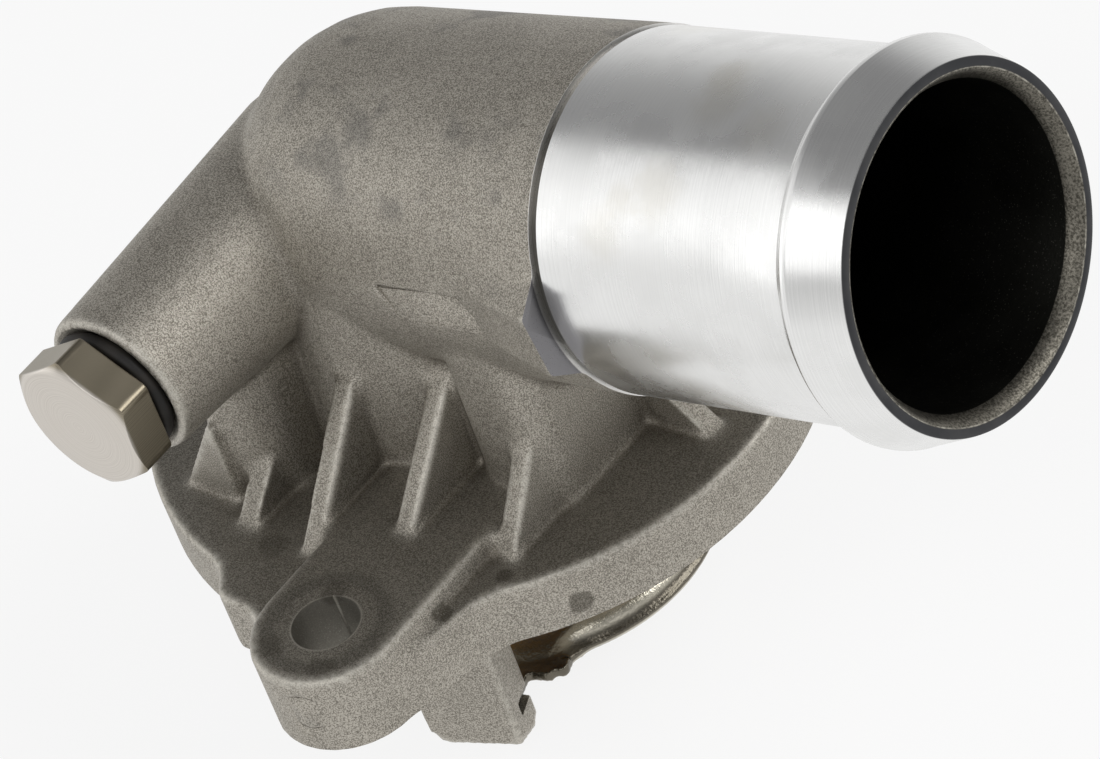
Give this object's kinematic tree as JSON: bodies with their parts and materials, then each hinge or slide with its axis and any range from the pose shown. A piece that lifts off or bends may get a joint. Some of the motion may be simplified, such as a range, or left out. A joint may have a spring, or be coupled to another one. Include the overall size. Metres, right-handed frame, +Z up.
{
  "type": "thermostat housing",
  "caption": "Die-cast engine coolant outlet with an angled hose neck, bolt ears, a bleed plug and a wax valve held under the flange by a stamped bridge.",
  "frame": {"origin": "centre of the bolted flange face, on the tower's axis", "axes": "+Z up the tower away from the engine, +X the way the hose neck points, -Y towards the bleed plug"},
  "size_m": [0.1098, 0.0928, 0.0871],
  "materials": {
    "cast_aluminium": "fine-grained die-cast skin, with the hose neck turned bright",
    "bright_nickel": "nickel plated, with fine turning marks on the head",
    "stamped_steel": "bright stamped sheet with sheared edges",
    "ground_steel": "ground bright",
    "spring_steel": "drawn wire, grey",
    "brass": "drawn brass, slightly tarnished",
    "black_rubber": "moulded black rubber",
    "ptfe": "white, waxy",
    "wax": "copper-filled wax, matte"
  },
  "bodies": {
    "casting": {"housing": "cast_aluminium", "flange_seal": "black_rubber", "piston": "ground_steel", "bridge": "stamped_steel", "main_spring": "spring_steel"},
    "valve": {"wax_cup": "brass", "guide_cover": "brass", "boot_washer": "ptfe", "rubber_boot": "black_rubber", "wax_charge": "wax", "valve_plate": "brass", "valve_seal": "black_rubber"},
    "plug_ring": {"plug_o_ring": "black_rubber"},
    "plug": {"bleed_plug": "bright_nickel"}
  },
  "joints": [
    {"name": "valve_slide", "type": "slide", "parent": "casting", "child": "valve", "axis": [0, 0, -1], "range_m": [0, 0.008], "stiffness_N_per_m": 5000, "deforming": ["main_spring"]},
    {"name": "plug_travel", "type": "slide", "parent": "casting", "child": "plug_ring", "axis": [0, -1, 0], "range_m": [0, 0.009]},
    {"name": "plug_turn", "type": "hinge", "parent": "plug_ring", "child": "plug", "pos_m": [-0.0105, -0.038, 0.0303], "axis": [0, -1, 0], "range_deg": [0, 2600]}
  ],
  "couplings": [
    {"joint": "plug_turn", "follows": "plug_travel", "rad_per_m": 5026.5}
  ]
}
